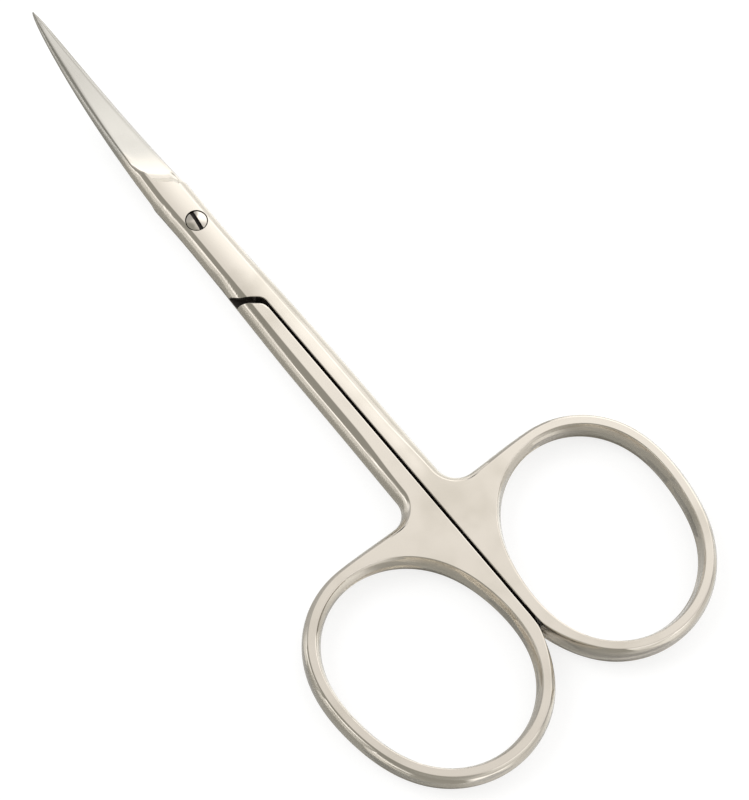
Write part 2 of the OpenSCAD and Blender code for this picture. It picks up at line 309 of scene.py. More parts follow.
@dataclass(frozen=True)
class PolishedNickel:
    """Bright nickel plate over forged steel, ground and then buffed on a soft wheel.

    The plate gives a warm mirror. Buffing leaves drag lines along the piece, deeper on the
    rounded sides than on the flat faces. The sides of the rings were filed by hand, so they
    carry soft facets that break up what they mirror. The blades are finer ground and duller.
    """

    name: str = "polished_nickel_plate"
    colour: str = "#DCD5CA"
    film_colour: str = "#D0C9BD"
    blade_colour: str = "#C2BFB8"
    roughness: float = 0.1
    film_roughness: float = 0.2
    blade_roughness: float = 0.24
    # Real buffing lines are finer; these are drawn two picture points wide so that they show
    drag_line_mm: float = 0.26
    drag_length_mm: float = 40.0
    drag_depth: float = 0.014
    drag_on_faces: float = 0.05
    film_mm: float = 6.0
    film_from: float = 0.45
    film_to: float = 0.75
    blade_ends_mm: tuple[float, float] = (18.0, 21.5)
    side_slopes: tuple[float, float] = (0.98, 0.8)
    facet_mm: tuple[float, float] = (6.0, 0.8)
    facet_tilt: float = 0.65
    facet_blend: float = 0.12
    rings_from_mm: float = -19.0
    rings_fade_mm: float = 3.0
    wave_mm: float = 5.0
    wave_depth: float = 0.012

    def build(self) -> Material:
        """Make the material's node tree.

        Returns:
            The finished material.
        """
        material, tree, out = new_material(self.name)
        polish = add_node(tree, "UVMap", {"uv_map": "polish"}).outputs["UV"]
        place = add_node(tree, "TexCoord").outputs["Object"]
        facing = add_node(tree, "NewGeometry").outputs["Normal"]
        upright = add_node(tree, "SeparateXYZ", {}, {"Vector": facing})
        level = add_node(tree, "Math", {"operation": "ABSOLUTE"}, {0: upright.outputs["Z"]})
        slope = level.outputs["Value"]
        stretch = add_node(tree, "Mapping",
                           {"in:Scale": (1 / (self.drag_length_mm * MM), 1 / (self.drag_line_mm * MM), 1)},
                           {"Vector": polish})
        drag = add_node(tree, "TexNoise", {"in:Scale": 1.0, "in:Detail": 3.0, "in:Roughness": 0.6},
                        {"Vector": stretch.outputs["Vector"]}).outputs["Fac"]
        colour, roughness = self.film(tree, place, polish, drag)
        filed = self.filing(tree, place, polish, facing, slope)
        lines = add_node(tree, "MapRange", step(*self.side_slopes, self.drag_on_faces, 1.0),
                         {"Value": slope})
        brushed = add_node(tree, "Bump", {"in:Distance": self.drag_depth * MM},
                           {"Height": drag, "Strength": lines.outputs["Result"], "Normal": filed})
        shader = add_node(tree, "BsdfPrincipled", {"in:Metallic": 1.0},
                          {"Base Color": colour, "Roughness": roughness,
                           "Normal": brushed.outputs["Normal"]})
        tree.links.new(shader.outputs["BSDF"], out.inputs["Surface"])
        return material

    def film(self, tree: Tree, place: Socket, polish: Socket,
             drag: Socket) -> tuple[Socket, Socket]:
        """Add the plate's colour and roughness: a thin dull film in patches, and the duller blade.

        Args:
            tree: the material's node tree.
            place: socket with the object coordinates.
            polish: socket with the distance along and across the polish.
            drag: socket with the drag lines' height.

        Returns:
            Sockets with the colour and the roughness.
        """
        along = add_node(tree, "SeparateXYZ", {}, {"Vector": polish})
        ends = [v * MM for v in self.blade_ends_mm]
        blade = add_node(tree, "MapRange", step(*ends, 1.0, 0.0), {"Value": along.outputs["X"]})
        patches = add_node(tree, "TexNoise",
                           {"in:Scale": 1 / (self.film_mm * MM), "in:Detail": 3.0, "in:Roughness": 0.5},
                           {"Vector": place})
        film = add_node(tree, "MapRange", step(self.film_from, self.film_to),
                        {"Value": patches.outputs["Fac"]}).outputs["Result"]
        plate = add_node(tree, "Mix",
                         {"data_type": "RGBA", 6: to_linear(self.colour), 7: to_linear(self.film_colour)},
                         {0: film})
        colour = add_node(tree, "Mix", {"data_type": "RGBA", 7: to_linear(self.blade_colour)},
                          {0: blade.outputs["Result"], 6: plate.outputs[2]})
        streak = add_node(tree, "Math", {"operation": "MULTIPLY"}, {0: film, 1: drag})
        dull = add_node(tree, "MapRange", step(0.0, 0.7, self.roughness, self.film_roughness),
                        {"Value": streak.outputs["Value"]})
        rough = add_node(tree, "Math",
                         {"operation": "MULTIPLY_ADD", 1: self.blade_roughness - self.roughness},
                         {0: blade.outputs["Result"], 2: dull.outputs["Result"]})
        return colour.outputs[2], rough.outputs["Value"]

    def filing(self, tree: Tree, place: Socket, polish: Socket,
               facing: Socket, slope: Socket) -> Socket:
        """Add the hand-filed facets on the rings' sides, and the slight waves of the buffed faces.

        Args:
            tree: the material's node tree.
            place: socket with the object coordinates.
            polish: socket with the distance along and across the polish.
            facing: socket with the surface's normal.
            slope: socket with 1 on flat faces and 0 on upright walls.

        Returns:
            Socket with the normal.
        """
        side = add_node(tree, "MapRange", step(*self.side_slopes), {"Value": slope})
        height = add_node(tree, "SeparateXYZ", {}, {"Vector": place})
        start, end = ((self.rings_from_mm + v) * MM for v in (self.rings_fade_mm, -self.rings_fade_mm))
        on_rings = add_node(tree, "MapRange", step(start, end), {"Value": height.outputs["Y"]})
        filed = add_node(tree, "Math", {"operation": "MULTIPLY"},
                         {0: side.outputs["Result"], 1: on_rings.outputs["Result"]})
        long, wide = self.facet_mm
        stretch = add_node(tree, "Mapping", {"in:Scale": (1 / (long * MM), 1 / (wide * MM), 1)},
                           {"Vector": polish})
        facet = add_node(tree, "TexVoronoi",
                         {"feature": "SMOOTH_F1", "voronoi_dimensions": "2D", "in:Scale": 1.0,
                          "in:Smoothness": self.facet_blend}, {"Vector": stretch.outputs["Vector"]})
        tilt = add_node(tree, "VectorMath", {"operation": "SUBTRACT", 1: (0.5, 0.5, 0.5)},
                        {0: facet.outputs["Color"]})
        share = add_node(tree, "Math", {"operation": "MULTIPLY", 1: self.facet_tilt},
                         {0: filed.outputs["Value"]})
        leaning = add_node(tree, "VectorMath", {"operation": "SCALE"},
                           {0: tilt.outputs["Vector"], "Scale": share.outputs["Value"]})
        turned = add_node(tree, "VectorMath", {"operation": "ADD"},
                          {0: facing, 1: leaning.outputs["Vector"]})
        even = add_node(tree, "VectorMath", {"operation": "NORMALIZE"}, {0: turned.outputs["Vector"]})
        buffed = add_node(tree, "TexNoise",
                          {"in:Scale": 1 / (self.wave_mm * MM), "in:Detail": 1.0, "in:Roughness": 0.5},
                          {"Vector": place})
        wave = add_node(tree, "Bump", {"in:Strength": 1.0, "in:Distance": self.wave_depth * MM},
                        {"Height": buffed.outputs["Fac"], "Normal": even.outputs["Vector"]})
        return wave.outputs["Normal"]


@dataclass(frozen=True)
class JointFace:
    """Ground inner faces of the joint, with painted shade in their corners and gaps.

    The grinding is left as it came from the wheel. Painted shade: from just in front of the shoulder
    back towards the rings, which takes in the parting line's walls, and round the screw, the colour
    turns nearly black and dull.
    """

    name: str
    side: int
    pivot_y: float = 17.99
    shoulder_y: float = 11.36
    shoulder_slope: float = 0.79
    colour: str = "#B9B4AC"
    # Painted shade: near-black, dull colour standing in for the shade in the joint's corners and gaps; the
    # second metallic and roughness values belong to it
    painted_shade_colour: str = "#2B2622"
    metallic: tuple[float, float] = (1.0, 0.2)
    roughness: tuple[float, float] = (0.3, 0.6)
    line_mm: float = 0.15
    line_length_mm: float = 4.0
    line_depth: float = 0.01
    # Reach of the painted shade in front of the shoulder line, and round the screw's axis
    painted_shade_reach: tuple[float, float] = (1.1, 1.6)
    screw_shade_reach: tuple[float, float] = (1.25, 1.5)

    def build(self) -> Material:
        """Make the material's node tree.

        Returns:
            The finished material.
        """
        material, tree, out = new_material(self.name)
        place = add_node(tree, "TexCoord").outputs["Object"]
        from_pivot = add_node(tree, "VectorMath",
                              {"operation": "SUBTRACT", 1: (0, self.pivot_y * MM, 0)},
                              {0: place}).outputs["Vector"]
        length = math.hypot(1, self.shoulder_slope)
        across = (-self.shoulder_slope * self.side / length, 1 / length, 0)
        behind = add_node(tree, "VectorMath", {"operation": "DOT_PRODUCT", 1: across},
                          {0: from_pivot})
        reach = [(v - self.shoulder_y / length) * MM for v in self.painted_shade_reach]
        corner = add_node(tree, "MapRange", step(*reach, 1, 0), {"Value": behind.outputs["Value"]})
        flat = add_node(tree, "VectorMath", {"operation": "MULTIPLY", 1: (1, 1, 0)}, {0: from_pivot})
        radius = add_node(tree, "VectorMath", {"operation": "LENGTH"}, {0: flat.outputs["Vector"]})
        ring = [v * MM for v in self.screw_shade_reach]
        screw = add_node(tree, "MapRange", step(*ring, 1, 0), {"Value": radius.outputs["Value"]})
        # Painted shade: 1 from just in front of the shoulder backwards and round the screw, 0 on the open
        # faces
        painted_shade = add_node(tree, "Math", {"operation": "MAXIMUM"},
                           {0: corner.outputs["Result"], 1: screw.outputs["Result"]}).outputs["Value"]
        long = self.line_length_mm * MM
        stretch = add_node(tree, "Mapping",
                           {"in:Scale": (1 / (self.line_mm * MM), 1 / long, 1 / long)}, {"Vector": place})
        lines = add_node(tree, "TexNoise", {"in:Scale": 1.0, "in:Detail": 3.0},
                         {"Vector": stretch.outputs["Vector"]})
        colour = add_node(tree, "Mix",
                          {"data_type": "RGBA", 6: to_linear(self.colour),
                           7: to_linear(self.painted_shade_colour)}, {0: painted_shade})
        metal = add_node(tree, "MapRange", step(0, 1, *self.metallic), {"Value": painted_shade})
        rough = add_node(tree, "MapRange", step(0, 1, *self.roughness), {"Value": painted_shade})
        ground = add_node(tree, "Bump",
                          {"in:Strength": 0.5, "in:Distance": self.line_depth * MM},
                          {"Height": lines.outputs["Fac"]})
        shader = add_node(tree, "BsdfPrincipled", {},
                          {"Base Color": colour.outputs[2], "Metallic": metal.outputs["Result"],
                           "Roughness": rough.outputs["Result"], "Normal": ground.outputs["Normal"]})
        tree.links.new(shader.outputs["BSDF"], out.inputs["Surface"])
        return material


# One forged half


@dataclass(frozen=True)
class End:
    """One end of a station across the piece: where the section starts and how it is shaped.

    Attributes:
        x, y: place in plan, from the pivot.
        nx, ny: direction into the metal.
        oval: how far the forged side reaches in; 0 for an upright wall.
        bow: length over which the row bends forward at the tongue's outer corner.
    """

    x: float
    y: float
    nx: float
    ny: float
    oval: float
    bow: float = 0.0


Stations = list[tuple[End, End]]


@dataclass(frozen=True)
class ScrewSeat:
    """Bore and recess for the pivot screw in one half."""

    bore_r: float
    recess_r: float
    recess_d: float


SEATS = {Side.UPPER: ScrewSeat(0.79, 1.15, 0.78), Side.LOWER: ScrewSeat(0.76, 1.06, 0.35)}


@dataclass
class ForgedHalf:
    """One half of the scissors: blade, lapped joint, shank, web and finger ring."""

    side: Side
    node: str
    pivot_y: float = 17.99
    half_t: float = 1.75
    half_forged: float = 1.94
    half_gap: float = 0.14
    mate_h: float = 0.04
    blade_reach: float = 27.1
    joint_half_w: float = 2.06
    shank_half_w: float = 2.46
    swell_length: float = 19.0
    shank_growth: float = 0.14
    growth_first: float = 13.0
    side_round: float = 0.8
    crotch_y: float = 35.2
    crotch_r: float = 2.22
    ring_x: float = 10.7
    ring_y: float = 50.05
    ring_radii: tuple[float, ...] = (9.7, 11.25, 11.7, 10.45, 9.75, 11.3, 11.95, 10.6)
    ring_half_w: float = 0.92
    # Degrees round the ring: where the web ends, the two ends of the outer and of the inner
    # side, and where the inner side starts to be forged round
    ring_first: float = 84.0
    ring_last: float = -80.0
    ring_inner: tuple[float, float] = (184.0, 280.0)
    ring_oval: tuple[float, float] = (192.0, 228.0)
    # Share of the ring's stations that still end on the parting line
    ring_on_slit: float = 0.3
    ring_ridge: float = 0.6
    # Reach of the forged oval on the shank behind the joint, and at the web
    shank_oval: float = 1.5
    web_oval: float = 1.15
    # Places on the parting line opposite the web's two ends, behind the crotch
    web_back: tuple[float, float] = (2.4, 6.5)
    joint_places: tuple[float, ...] = (2, 1, 0, -1.5, -3, -4.5, -6)
    tongue_end_y: float = 10.53
    tongue_slope: float = 0.77
    tongue_bow: float = 1.4
    tongue_bow_x: float = 1.5
    tongue_fillet: float = 1.2
    shoulder_y: float = 11.36
    shoulder_slope: float = 0.79
    shoulder_r: float = 1.1
    blade_start: float = 4.0
    blade_half_w: float = 2.12
    blade_taper: float = 0.575
    bend_start: float = 5.5
    bend_radius: float = 45.5
    back_root: float = 1.25
    back_tip: float = 0.42
    edge_share: float = 0.6
    back_round: float = 0.46
    bevel_w: float = 0.25
    edge_inset: float = 0.08
    runout_y: float = 5.9
    runout_l: float = 2.0
    runout_slant: float = -0.777
    runout_bow: float = 0.5
    mid_blade: float = 13.0
    lap_front: float = 3.6
    lap_past: float = 0.05
    lap_half_w: float = 4.0
    crown: float = 0.06
    crown_half_w: float = 1.4
    crown_end_y: float = -38.0
    crown_fade: float = 8.0
    edge_break: float = 0.08
    slit_break: float = 0.09
    shoulder_break: float = 0.13
    side_steps: int = 14
    corner_steps: int = 4
    face_steps: int = 8

    # Plan form

    @property
    def tip_y(self) -> float:
        """Where the rounded tip ends, from the pivot."""
        return self.blade_reach - 0.15

    @property
    def oval_end(self) -> float:
        """Angle on the forged oval at which the ground face cuts it, in radians."""
        return math.asin(self.half_t / self.half_forged)

    @property
    def oval_drop(self) -> float:
        """Share of the oval's reach that lies outside the ground face."""
        return 1 - math.cos(self.oval_end)

    def half_width(self, y: float) -> float:
        """Half the width of the closed scissors at a distance y in front of the pivot."""
        if y > self.blade_start:
            share = 1 - (y - self.blade_start) / (self.blade_reach - self.blade_start)
            return self.blade_half_w * clamp01(share) ** self.blade_taper
        if y > 0:
            return mix(self.joint_half_w, self.blade_half_w, y / self.blade_start)
        growth = clamp01((y + self.growth_first) / (self.growth_first - self.crotch_y))
        width = mix(self.joint_half_w, self.shank_half_w, ease(-y / self.swell_length))
        return width + self.shank_growth * growth

    def rise(self, x: float, y: float) -> float:
        """Upward curve of the mating faces, a surface of revolution about the pivot."""
        reach = math.hypot(x, y) - self.bend_start
        if y <= 0 or reach <= 0:
            return 0.0
        return self.bend_radius - math.sqrt(self.bend_radius**2 - reach**2)

    def ring_radius(self, deg: float) -> float:
        """Distance from the ring's centre to the middle of its section, as one smooth wave."""
        n = len(self.ring_radii)
        step = 360 / n
        total = 0.0
        for i, radius in enumerate(self.ring_radii):
            half = math.radians(deg - i * step) / 2
            if abs(math.sin(half)) < 1e-6:
                return radius
            total += radius * math.sin(n * half) / (n * math.tan(half))
        return total

    def ring_mid(self, deg: float) -> Plan:
        """Middle of the ring's section at an angle round its centre."""
        r, a = self.ring_radius(deg), math.radians(deg)
        return (self.ring_x + r * math.cos(a), -self.ring_y + r * math.sin(a))

    def ring_normal(self, deg: float) -> Plan:
        """Outward direction of the ring at an angle round its centre."""
        (x0, y0), (x1, y1) = self.ring_mid(deg - 0.5), self.ring_mid(deg + 0.5)
        length = math.hypot(x1 - x0, y1 - y0)
        return ((y1 - y0) / length, -(x1 - x0) / length)

    def ring_point(self, deg: float, out: float) -> Plan:
        """Point at a distance outside the middle line of the ring."""
        (x, y), (nx, ny) = self.ring_mid(deg), self.ring_normal(deg)
        return (x + out * nx, y + out * ny)

    # Stations

    def side_oval(self, y: float) -> float:
        """How far the forged oval reaches in along joint and shank."""
        return self.side_round * self.half_width(y)

    def back_side(self, y: float) -> End:
        """Outer end of a station on the tongue's side of the joint."""
        return End(-self.half_width(y), y, 1, 0, self.side_oval(y))

    def handle_side(self, y: float) -> End:
        """Outer end of a station on the side of the ring."""
        oval = mix(self.side_oval(y), self.shank_oval, ease((-27 - y) / 8))
        return End(self.half_width(y), y, -1, 0, oval)

    def tongue_end(self, x: float) -> float:
        """Line of the tongue's slanted end."""
        return -self.tongue_end_y - self.tongue_slope * x

    @property
    def turn_tangent(self) -> float:
        """Length that the fillet at the tongue's tip takes off each of its sides."""
        return self.tongue_fillet * math.tan((math.pi / 2 - math.atan(self.tongue_slope)) / 2)

    @property
    def turn_end(self) -> float:
        """Where that fillet ends on the parting line."""
        return self.tongue_end(self.half_gap) - self.turn_tangent

    def tongue_stations(self) -> Stations:
        """Stations from the joint over the tongue's end into the parting line.

        Returns:
            Pairs of ends, from the joint towards the ring.
        """
        pairs = [(self.back_side(y), self.handle_side(y)) for y in self.joint_places]
        corner_w = self.half_width(-8)
        corner_y = self.tongue_end(-corner_w)
        bow = corner_w - self.tongue_bow_x
        lead = corner_y + self.tongue_bow * bow**2
        pairs.append((End(-corner_w, corner_y, 1, -self.tongue_slope, self.side_oval(corner_y), bow),
                      self.handle_side(lead)))
        lean = math.atan(self.tongue_slope)
        nx, ny = math.sin(lean), math.cos(lean)
        last_x = self.half_gap - self.turn_tangent * math.cos(lean)
        for i in range(7):
            x = mix(-0.9, last_x, i / 6)
            y = self.tongue_end(x)
            pairs.append((End(x, y, nx, ny, 0), self.handle_side(y - 0.1)))
        cx, cy = self.half_gap - self.tongue_fillet, self.turn_end
        for i in range(1, 13):
            a = mix(math.pi / 2 - lean, 0, i / 12)
            px, py = cx + self.tongue_fillet * math.cos(a), cy + self.tongue_fillet * math.sin(a)
            pairs.append((End(px, py, math.cos(a), math.sin(a), 0), self.handle_side(py - 0.1)))
        return pairs

    def slit_end(self, y: float) -> End:
        """End of a station on the wall along the parting line."""
        return End(self.half_gap, y, 1, 0, 0)

    def shank_stations(self) -> Stations:
        """Stations along the shank, from the tongue to the start of the crotch."""
        places = [mix(self.turn_end, -self.crotch_y, i / 24) for i in range(1, 25)]
        return [(self.slit_end(y), self.handle_side(y)) for y in places]

    def web_stations(self) -> Stations:
        """Stations round the crotch and over the web to the start of the ring.

        Returns:
            Pairs of ends, from the shank to the ring.
        """
        start, r = -self.crotch_y, self.crotch_r
        cx = self.half_width(start) + r
        first, last = (start - v for v in self.web_back)
        pairs = []
        for i in range(1, 29):
            t = i / 28
            a = math.radians(mix(180, 270, t))
            n = (math.cos(a), math.sin(a))
            oval = mix(self.shank_oval, self.web_oval, t)
            pairs.append((self.slit_end(mix(start, first, t)),
                          End(cx + r * n[0], start + r * n[1], *n, oval)))
        top = self.ring_point(self.ring_first, self.ring_half_w)
        normal = self.ring_normal(self.ring_first)
        foot = (cx, start - r)
        reach = math.dist(top, foot) / 3
        bend = [foot, (foot[0] + reach, foot[1]),
                (top[0] - reach * normal[1], top[1] + reach * normal[0]), top]
        for i in range(1, 12):
            t = i / 12
            nx, ny = -normal[0] * t, -mix(1, normal[1], t)
            length = math.hypot(nx, ny)
            oval = mix(self.web_oval, self.ring_half_w, t)
            pairs.append((self.slit_end(mix(first, last, t)),
                          End(*bezier(bend, t), nx / length, ny / length, oval)))
        return pairs

    def ring_stations(self) -> Stations:
        """Stations round the ring, which meet on its far side.

        Returns:
            Pairs of an end on the inner and an end on the outer side.
        """
        pairs = []
        steps, split, w = 150, self.ring_on_slit, self.ring_half_w
        web_end = -self.crotch_y - self.web_back[1]
        slit_foot = self.ring_point(self.ring_inner[0], w)[1]
        oval_from, oval_to = self.ring_oval
        for i in range(steps + 1):
            t = i / steps
            outer = mix(self.ring_first, self.ring_last, t)
            n = self.ring_normal(outer)
            far = End(*self.ring_point(outer, w), -n[0], -n[1], w)
            if t < split:
                near = self.slit_end(mix(web_end, slit_foot, t / split))
            else:
                a = mix(*self.ring_inner, (t - split) / (1 - split))
                x, y = self.ring_point(a, w)
                m = self.ring_normal(a)
                oval = w * ease((a - oval_from) / (oval_to - oval_from))
                near = End(max(self.half_gap, x), y, -m[0], -m[1], oval)
            pairs.append((near, far))
        return pairs

    # Sections

    def profile(self, end: End, top: float, base: float, low: float, bevelled: float,
                top_break: float, low_break: float) -> list[Plan]:
        """Side of a section from its lower edge to its upper face, with both edges rounded.

        Args:
            end: the end of the station.
            top: height of the upper face at this end.
            base: height of the mating face, used where low is 0.
            low: angle at which the side starts, in radians.
            bevelled: 1 for the straight bevel of the cutting edge, 0 for the forged side.
            top_break: size of the rounding at the upper edge.
            low_break: size of the rounding at the lower edge.

        Returns:
            Pairs of distance into the metal and height above the mating plane.
        """
        fine = 40
        raw = []
        for k in range(fine + 1):
            t = k / fine
            a = mix(low, self.oval_end, t)
            d = mix(end.oval * (1 - math.cos(a)), end.oval * self.oval_drop * t, bevelled)
            if a > 0:
                h = base + (top - base) * math.sin(a) / math.sin(self.oval_end)
            else:
                h = self.half_t * math.sin(a) / math.sin(self.oval_end)
            raw.append((d, mix(h, mix(base, top, 0.12 + 0.88 * t), bevelled)))
        if low == 0:
            raw[0] = (raw[0][0], base)
        lengths = running(raw)
        total = lengths[-1]
        top_b, low_b = min(top_break, total * 0.3), min(low_break, total * 0.3)
        (d0, h0), (d1, h1) = raw[0], raw[-1]
        lower = [(d0 + low_b, h0), (d0, h0), point_along(raw, lengths, low_b)]
        upper = [point_along(raw, lengths, total - top_b), (d1, h1), (d1 + top_b, h1)]
        shares = [i / self.corner_steps for i in range(self.corner_steps + 1)]
        round_low, round_top = ([bezier(corner, t) for t in shares] for corner in (lower, upper))
        body = [point_along(raw, lengths, mix(low_b, total - top_b, i / self.side_steps))
                for i in range(1, self.side_steps)]
        return [(d0 + low_b * 1.4, h0)] + round_low + body + round_top + [(d1 + top_b * 1.4, h1)]

    def section(self, left: End, right: End, tops: tuple[float, float], base: float, low: float,
                bevelled: float, across: Callable[[float], float] | None = None,
                crowned: float = 1.0) -> Row:
        """One closed row of points: up the left side, over the face, down the right side.

        Args:
            left: end of the station towards the blade's back or the parting line.
            right: end of the station towards the cutting edge or the ring.
            tops: heights of the face at the left and right end.
            base: height of the mating face.
            low: angle at which the sides start, in radians.
            bevelled: 1 where the right side is the cutting edge's bevel.
            across: function from x to the row's y where the row runs slanted, or None.
            crowned: share of the face's slight crown.

        Returns:
            The points in the half's own frame.
        """
        opposed = left.nx * right.nx + left.ny * right.ny < 0
        keep = 0.22 * math.hypot(right.x - left.x, right.y - left.y) if opposed else math.inf
        sides = []
        for end, top, bevel in ((left, tops[0], 0.0), (right, tops[1], bevelled)):
            on_slit = end.oval == 0 and end.nx > 0.9
            broken = self.slit_break if on_slit else self.edge_break
            up = min(broken, keep)
            down = min(0.012 if low > -1 else broken, keep)
            points = []
            for d, h in self.profile(end, top, base, low, bevel, up, down):
                bow = self.tongue_bow * max(0.0, end.bow - d) ** 2 if end.bow else 0.0
                x, y = end.x + end.nx * d, end.y + end.ny * d + bow
                points.append((x, y, h))
            sides.append(points)

        def inside(p: Point, q: Point, steps: int) -> Row:
            """Points of the row between two of its points."""
            found = []
            for i in range(1, steps):
                t = i / steps
                x = mix(p[0], q[0], t)
                y = mix(p[1], q[1], t) if across is None else across(x)
                found.append((x, y, mix(p[2], q[2], t)))
            return found

        a, b = sides
        row = []
        for x, y, h in a + inside(a[-1], b[-1], self.face_steps) + b[::-1] + inside(b[0], a[0], 4):
            bulge = (x / self.crown_half_w) ** 2
            fade = ease((y - self.crown_end_y) / self.crown_fade) * crowned
            drop = self.crown * bulge / (1 + bulge**4) ** 0.25 * fade
            row.append((x, y, h - drop * ease(h / self.half_t)))
        return row

    def hollow(self, yc: float) -> float:
        """1 on the joint's flat face and 0 on the blade's face, with a hollow between them."""
        return (1 - clamp01((yc - self.runout_y) / self.runout_l)) ** 2

    def slanted(self, yc: float) -> float:
        """How slanted the station at yc runs across the blade."""
        if yc < self.runout_y:
            return ease((yc - self.lap_front) / (self.runout_y - self.lap_front))
        return ease((self.mid_blade - yc) / 4.7)

    def blade_section(self, yc: float) -> Row:
        """Section of the blade whose middle lies at yc in front of the pivot."""
        w = self.half_width(yc)
        run = self.hollow(yc)
        slant = self.slanted(yc)

        def across(x: float) -> float:
            """Distance in front of the pivot of the slanted row at x."""
            return yc + slant * (self.runout_slant * x - self.runout_bow * (1 - x * x / (w * w)))

        def end_of_row(sign: int) -> Plan:
            """End of the row on one side of the blade."""
            y = across(sign * w)
            return (sign * self.half_width(y), y)

        bx, by = end_of_row(-1)
        ex, ey = end_of_row(1)
        inset = min(self.edge_inset, w * 0.3) * (1 - run)
        narrow = min(self.back_round, w * 0.45) / self.oval_drop
        bevel = min(self.bevel_w, w * 0.3) / self.oval_drop
        left = End(bx, by, 1, 0, mix(narrow, self.side_round * w, run))
        right = End(ex - inset, ey, -1, 0, mix(bevel, self.side_round * w, run))
        back = mix(self.back_root, self.back_tip, clamp01((yc - 9) / (self.tip_y - 9)))
        tops = (mix(back, self.half_t, run), mix(back * self.edge_share, self.half_t, run))
        return self.section(left, right, tops, self.mate_h, 0, 1 - run, across, crowned=run)

    def blade_places(self) -> list[float]:
        """Middle of each blade station, from the tip towards the joint."""
        tip = [mix(self.mid_blade, self.tip_y, math.sin(math.pi / 2 * i / 34)) for i in range(34, -1, -1)]
        root = [mix(self.mid_blade, self.runout_y + self.runout_l, i / 14) for i in range(1, 14)]
        run = [self.runout_y + self.runout_l * i / 22 for i in range(22, -1, -1)]
        flat = [mix(self.runout_y, self.lap_front, i / 5) for i in range(1, 6)]
        return tip + root + run + flat

    def body_rows(self) -> list[Row]:
        """All rows of the half in the part's frame, from the tip to the ring's far end.

        Returns:
            The rows in millimetres.
        """
        found = [self.blade_section(yc) for yc in self.blade_places()]
        level = (self.half_t, self.half_t)
        tongue, joint = self.tongue_stations(), len(self.joint_places)
        handle = self.shank_stations() + self.web_stations() + self.ring_stations()
        for pair in tongue[:joint]:
            found.append(self.section(*pair, level, 0, math.radians(-15), 0))
        for pair in tongue[joint:] + handle:
            found.append(self.section(*pair, level, 0, -self.oval_end, 0))
        return [[self.place(*point) for point in row] for row in found]

    def place(self, x: float, y: float, h: float) -> Point:
        """Set a point of the half's own frame into the part's frame."""
        s = self.side.value
        return (s * x, y + self.pivot_y, s * h + self.rise(x, y) + self.half_t)

    # Cutting tools

    def turned(self, x: float, y: float, z: float) -> Point:
        """Set a cutting tool's point into the part's frame, turned over for the lower half."""
        s = self.side.value
        return (s * x, y + self.pivot_y, s * z + self.half_t)

    def finger_hole(self) -> Piece:
        """Cutting tool for the finger hole, flared at both faces so that its edge is rounded.

        Returns:
            The tool as a closed object.
        """
        c = -self.ring_half_w * math.cos(self.oval_end)
        wall = []
        for i in range(15):
            a = self.oval_end * i / 14
            h = self.half_forged * math.sin(a)
            straight = mix(-self.ring_half_w, c, h / self.half_t)
            wall.append((mix(-self.ring_half_w * math.cos(a), straight, self.ring_ridge), h))
        flare = [wall[-2], wall[-1], (c + self.edge_break, wall[-1][1])]
        half = wall[:-2] + [bezier(flare, i / 6) for i in range(6)]
        half.append((half[-1][0], self.half_t + 0.5))
        full = [(d, -z) for d, z in reversed(half[1:])] + half
        turn = 240
        rows = [[self.turned(*self.ring_point(360 * i / turn, d), z) for i in range(turn)] for d, z in full]
        return skin_rows("finger_hole", rows, Grain.ROUND_ROWS)

    def lap(self) -> Piece:
        """Cutting tool that takes half of the thickness away in front of the shoulder.

        Returns:
            The tool as a closed object.
        """
        lean = math.atan(self.shoulder_slope)
        x = self.half_gap + self.shoulder_r
        cx, cy = x, -self.shoulder_y + self.shoulder_slope * x - self.shoulder_r / math.cos(lean)
        wide, front = self.lap_half_w, self.lap_front - self.lap_past

        def outline(grow: float) -> list[Plan]:
            """Outline of the tool with its shoulder pushed back by grow."""
            points = [(-wide, front), (-wide, cy)]
            r = self.shoulder_r - grow
            for i in range(25):
                a = mix(math.pi, math.pi / 2 + lean, i / 24)
                points.append((cx + r * math.cos(a), cy + r * math.sin(a)))
            px, py = points[-1]
            points.append((wide, py + self.shoulder_slope * (wide - px)))
            points.append((wide, front))
            return points

        b = self.shoulder_break
        flare = ((1.0, 0.0), (0.6, 0.1), (0.3, 0.3), (0.1, 0.62), (0.0, 1.0), (-0.1, 1.5))
        levels = [(self.mate_h, 0.0)] + [(-self.half_t + b * up, b * out) for up, out in flare]
        levels.append((-self.half_t - 0.6, b * 1.5))
        rows = [[self.turned(px, py, z) for px, py in outline(grow)] for z, grow in levels]
        return skin_rows("lap", rows, Grain.ROUND_ROWS)

    def round_tool(self, radius: float, z0: float, z1: float) -> Piece:
        """Cutting tool for a round bore or recess on the pivot, between two heights."""
        deselect_all()
        bpy.ops.mesh.primitive_cylinder_add(
            vertices=96, radius=radius * MM, depth=(z1 - z0) * MM,
            location=(0, self.pivot_y * MM, ((z0 + z1) / 2 + self.half_t) * MM))
        tool = bpy.context.active_object
        make_active(tool)
        bpy.ops.object.transform_apply(location=True, rotation=True, scale=True)
        return tool

    def build(self) -> Piece:
        """Model the half and put it in the place of its CAD node.

        Returns:
            The finished piece.
        """
        rows = self.body_rows()
        piece = skin_rows(self.node + "_forging", rows, Grain.ALONG_ROWS, len(rows[0]) - 4)
        tools = [self.finger_hole(), self.lap()]
        seat, s, outside = SEATS[self.side], self.side.value, 3
        tools.append(self.round_tool(seat.bore_r, -outside, outside))
        recess = sorted((s * (self.half_t - seat.recess_d), s * outside))
        tools.append(self.round_tool(seat.recess_r, *recess))
        cut(piece, tools)
        smooth(piece)
        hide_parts(self.node)
        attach(piece, "upper" if self.side is Side.UPPER else "lower")
        return piece

